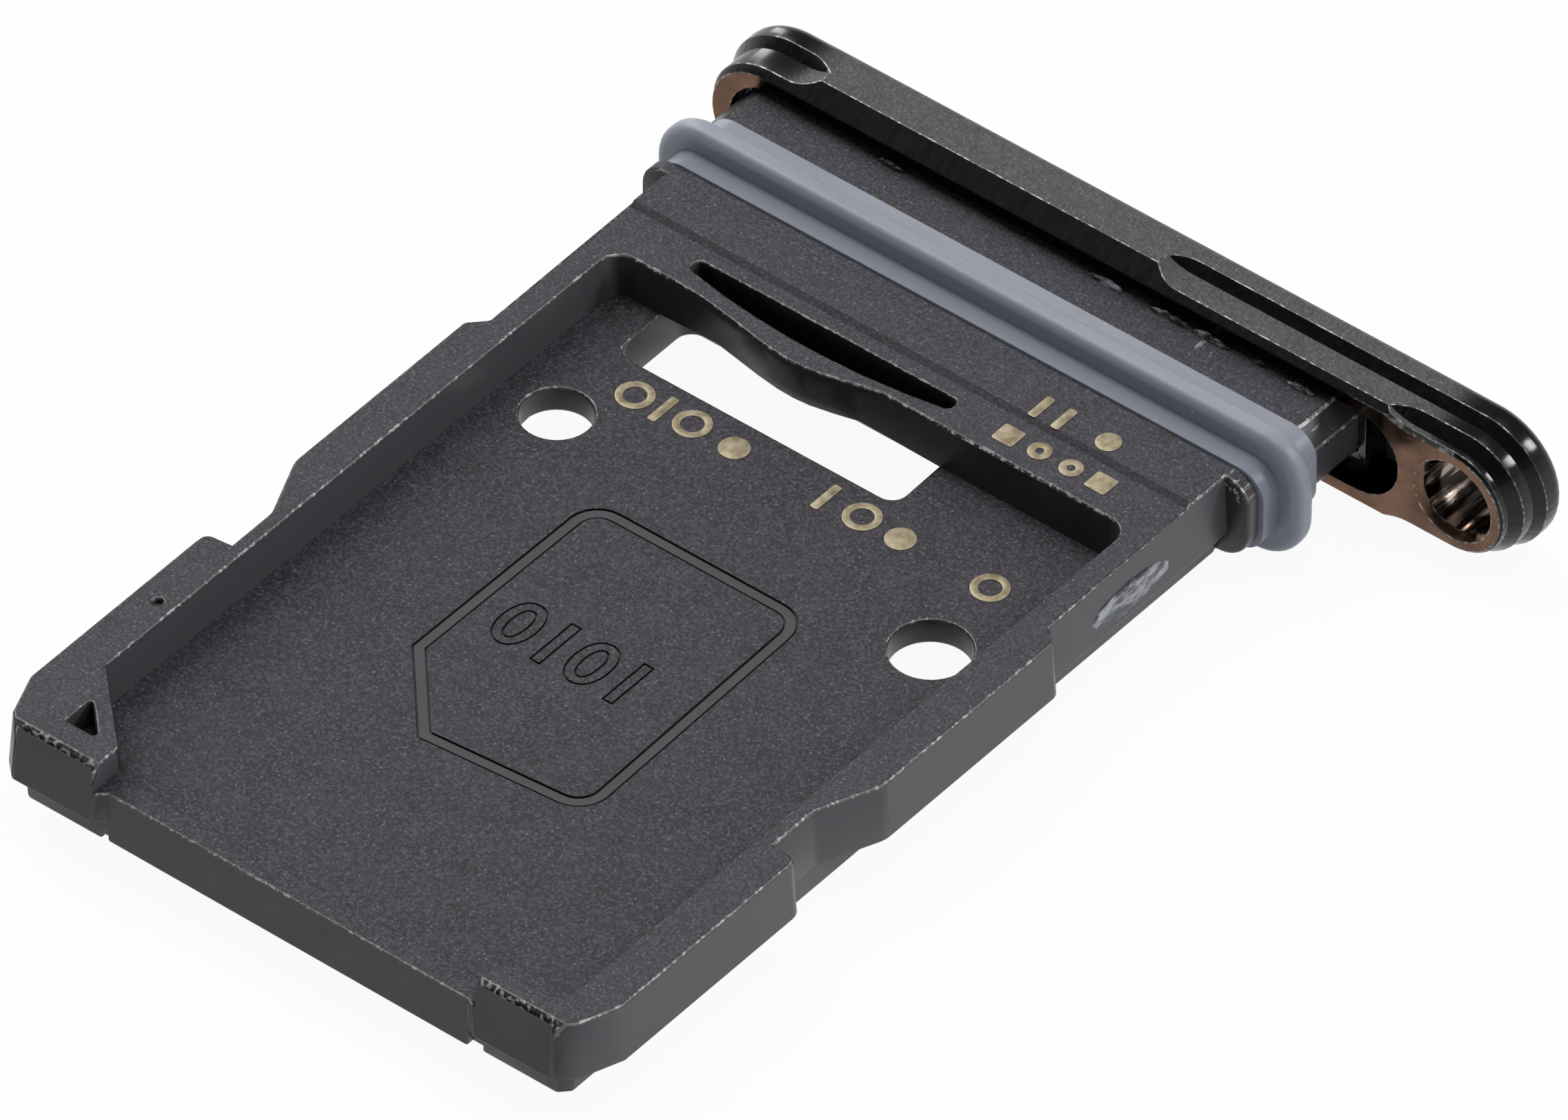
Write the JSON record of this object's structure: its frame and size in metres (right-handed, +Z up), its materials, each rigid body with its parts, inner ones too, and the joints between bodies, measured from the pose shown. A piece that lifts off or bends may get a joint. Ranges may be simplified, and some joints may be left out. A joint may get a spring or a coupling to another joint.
{
  "type": "sim card tray",
  "caption": "Slim moulded card tray with a shallow card pocket and a spring arm, a rubber seal ring round its neck and a stepped metal face cap with an eject hole.",
  "frame": {"origin": "middle of the bounding box, at the level of the face cap's lowest edge", "axes": "+Y along the tray towards the face cap, +X across the tray towards the eject hole, +Z up out of the card pocket"},
  "size_m": [0.0146, 0.018, 0.0023],
  "materials": {
    "carrier_plastic": "charcoal moulded plastic with a fine sparkling grain",
    "seal_rubber": "blue-grey satin rubber",
    "cap_metal": "bead-blasted black anodised metal with polished steps",
    "adhesive": "glossy black cured adhesive"
  },
  "bodies": {
    "root": {"tray_carrier": "carrier_plastic", "seal_ring": "seal_rubber", "face_cap": "cap_metal", "adhesive_bead": "adhesive"}
  },
  "joints": []
}
